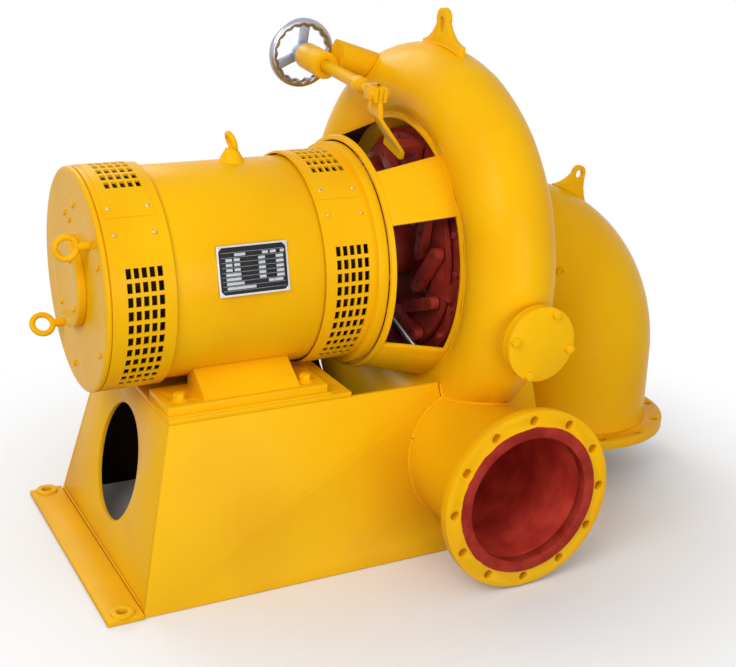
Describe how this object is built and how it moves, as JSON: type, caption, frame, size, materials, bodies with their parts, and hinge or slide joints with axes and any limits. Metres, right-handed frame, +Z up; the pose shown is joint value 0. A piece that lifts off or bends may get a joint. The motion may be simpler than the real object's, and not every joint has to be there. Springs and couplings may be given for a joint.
{
  "type": "hydroelectric generator",
  "caption": "Horizontal Francis turbine and its generator on one welded base, with a spiral casing, guide gear worked by a handwheel, and a draft elbow.",
  "frame": {"origin": "middle of the four foundation holes, on the floor", "axes": "+X along the shaft from the generator to the turbine, +Z up, and the inlet flange faces -Y"},
  "size_m": [1.7595, 1.135, 1.284],
  "materials": {
    "yellow_paint": "gloss",
    "red_primer": "satin",
    "plate": "satin",
    "chrome": "polished",
    "steel": "brushed"
  },
  "bodies": {
    "machine": {"back_cover": "yellow_paint", "barrel_support": "yellow_paint", "base_far_plate": "yellow_paint", "base_feet": "yellow_paint", "base_front_plate": "yellow_paint", "base_near_plate": "yellow_paint", "base_rear_plate": "yellow_paint", "base_top_plate": "yellow_paint", "bearing_cap": "yellow_paint", "casing_far": "yellow_paint", "casing_lower": "yellow_paint", "casing_lug": "yellow_paint", "casing_near": "yellow_paint", "casing_tail": "yellow_paint", "casing_top": "yellow_paint", "draft_elbow": "yellow_paint", "draft_flange": "yellow_paint", "draft_lug": "yellow_paint", "drain_pipe": "steel", "end_cover": "yellow_paint", "end_eyebolts": "yellow_paint", "front_shroud": "yellow_paint", "generator_body": "yellow_paint", "generator_feet": "yellow_paint", "generator_flange": "yellow_paint", "hatch_cover": "yellow_paint", "hatch_neck": "yellow_paint", "head_cover": "red_primer", "inlet_flange": "yellow_paint", "inlet_pipe": "yellow_paint", "lantern_rings": "yellow_paint", "lantern_webs": "yellow_paint", "lifting_eye": "yellow_paint", "main_shaft": "steel", "nameplate": "plate", "neck_flange": "yellow_paint", "rear_shroud": "yellow_paint", "ring_guides": "red_primer", "stay_ring": "red_primer", "vent_covers": "yellow_paint"},
    "screw_barrel": {"screw_barrel": "yellow_paint"},
    "handwheel": {"handwheel": "chrome", "screw_spindle": "steel"},
    "screw_rod": {"screw_rod": "yellow_paint"},
    "regulating_ring": {"regulating_ring": "red_primer", "ring_pins": "red_primer", "regulating_lever": "yellow_paint"},
    "guide_arm_01": {"guide_arm_01": "red_primer"},
    "guide_arm_02": {"guide_arm_02": "red_primer"},
    "guide_arm_03": {"guide_arm_03": "red_primer"},
    "guide_arm_04": {"guide_arm_04": "red_primer"},
    "guide_arm_05": {"guide_arm_05": "red_primer"},
    "guide_arm_06": {"guide_arm_06": "red_primer"},
    "guide_arm_07": {"guide_arm_07": "red_primer"},
    "guide_arm_08": {"guide_arm_08": "red_primer"},
    "guide_arm_09": {"guide_arm_09": "red_primer"},
    "guide_arm_10": {"guide_arm_10": "red_primer"},
    "guide_arm_11": {"guide_arm_11": "red_primer"},
    "guide_arm_12": {"guide_arm_12": "red_primer"}
  },
  "joints": [
    {"name": "wheel_turn", "type": "hinge", "parent": "screw_barrel", "child": "handwheel", "pos_m": [0.128, 0.185, 1.128], "axis": [0, -0.9949, -0.1007], "range_deg": [-1637.19, 1637.19]},
    {"name": "barrel_swing", "type": "hinge", "parent": "machine", "child": "screw_barrel", "pos_m": [0.128, 0.185, 1.128], "axis": [1, 0, 0], "range_deg": [-1.3, 1.3]},
    {"name": "rod_slide", "type": "slide", "parent": "screw_barrel", "child": "screw_rod", "axis": [0, -0.9949, -0.1007], "range_m": [-0.037, 0.037]},
    {"name": "ring_turn", "type": "hinge", "parent": "machine", "child": "regulating_ring", "pos_m": [0.259, 0, 0.69], "axis": [1, 0, 0], "range_deg": [-5.05, 5.05]},
    {"name": "arm_01_swing", "type": "hinge", "parent": "machine", "child": "guide_arm_01", "pos_m": [0.235, -0.15206, 0.62857], "axis": [1, 0, 0], "range_deg": [-7.3, 7.3]},
    {"name": "arm_02_swing", "type": "hinge", "parent": "machine", "child": "guide_arm_02", "pos_m": [0.235, -0.10097, 0.56077], "axis": [1, 0, 0], "range_deg": [-7.3, 7.3]},
    {"name": "arm_03_swing", "type": "hinge", "parent": "machine", "child": "guide_arm_03", "pos_m": [0.235, -0.02282, 0.5276], "axis": [1, 0, 0], "range_deg": [-7.3, 7.3]},
    {"name": "arm_04_swing", "type": "hinge", "parent": "machine", "child": "guide_arm_04", "pos_m": [0.235, 0.06143, 0.53794], "axis": [1, 0, 0], "range_deg": [-7.3, 7.3]},
    {"name": "arm_05_swing", "type": "hinge", "parent": "machine", "child": "guide_arm_05", "pos_m": [0.235, 0.12923, 0.58903], "axis": [1, 0, 0], "range_deg": [-7.3, 7.3]},
    {"name": "arm_06_swing", "type": "hinge", "parent": "machine", "child": "guide_arm_06", "pos_m": [0.235, 0.1624, 0.66718], "axis": [1, 0, 0], "range_deg": [-7.3, 7.3]},
    {"name": "arm_07_swing", "type": "hinge", "parent": "machine", "child": "guide_arm_07", "pos_m": [0.235, 0.15206, 0.75143], "axis": [1, 0, 0], "range_deg": [-7.3, 7.3]},
    {"name": "arm_08_swing", "type": "hinge", "parent": "machine", "child": "guide_arm_08", "pos_m": [0.235, 0.10097, 0.81923], "axis": [1, 0, 0], "range_deg": [-7.3, 7.3]},
    {"name": "arm_09_swing", "type": "hinge", "parent": "machine", "child": "guide_arm_09", "pos_m": [0.235, 0.02282, 0.8524], "axis": [1, 0, 0], "range_deg": [-7.3, 7.3]},
    {"name": "arm_10_swing", "type": "hinge", "parent": "machine", "child": "guide_arm_10", "pos_m": [0.235, -0.06143, 0.84206], "axis": [1, 0, 0], "range_deg": [-7.3, 7.3]},
    {"name": "arm_11_swing", "type": "hinge", "parent": "machine", "child": "guide_arm_11", "pos_m": [0.235, -0.12923, 0.79097], "axis": [1, 0, 0], "range_deg": [-7.3, 7.3]},
    {"name": "arm_12_swing", "type": "hinge", "parent": "machine", "child": "guide_arm_12", "pos_m": [0.235, -0.1624, 0.71282], "axis": [1, 0, 0], "range_deg": [-7.3, 7.3]}
  ],
  "couplings": [
    {"joint": "barrel_swing", "follows": "wheel_turn", "ratio": 0.00075126},
    {"joint": "rod_slide", "follows": "wheel_turn", "m_per_rad": 0.0012732},
    {"joint": "ring_turn", "follows": "wheel_turn", "ratio": 0.003054},
    {"joint": "arm_01_swing", "follows": "wheel_turn", "ratio": 0.0043969},
    {"joint": "arm_02_swing", "follows": "wheel_turn", "ratio": 0.0043969},
    {"joint": "arm_03_swing", "follows": "wheel_turn", "ratio": 0.0043969},
    {"joint": "arm_04_swing", "follows": "wheel_turn", "ratio": 0.0043969},
    {"joint": "arm_05_swing", "follows": "wheel_turn", "ratio": 0.0043969},
    {"joint": "arm_06_swing", "follows": "wheel_turn", "ratio": 0.0043969},
    {"joint": "arm_07_swing", "follows": "wheel_turn", "ratio": 0.0043969},
    {"joint": "arm_08_swing", "follows": "wheel_turn", "ratio": 0.0043969},
    {"joint": "arm_09_swing", "follows": "wheel_turn", "ratio": 0.0043969},
    {"joint": "arm_10_swing", "follows": "wheel_turn", "ratio": 0.0043969},
    {"joint": "arm_11_swing", "follows": "wheel_turn", "ratio": 0.0043969},
    {"joint": "arm_12_swing", "follows": "wheel_turn", "ratio": 0.0043969}
  ]
}
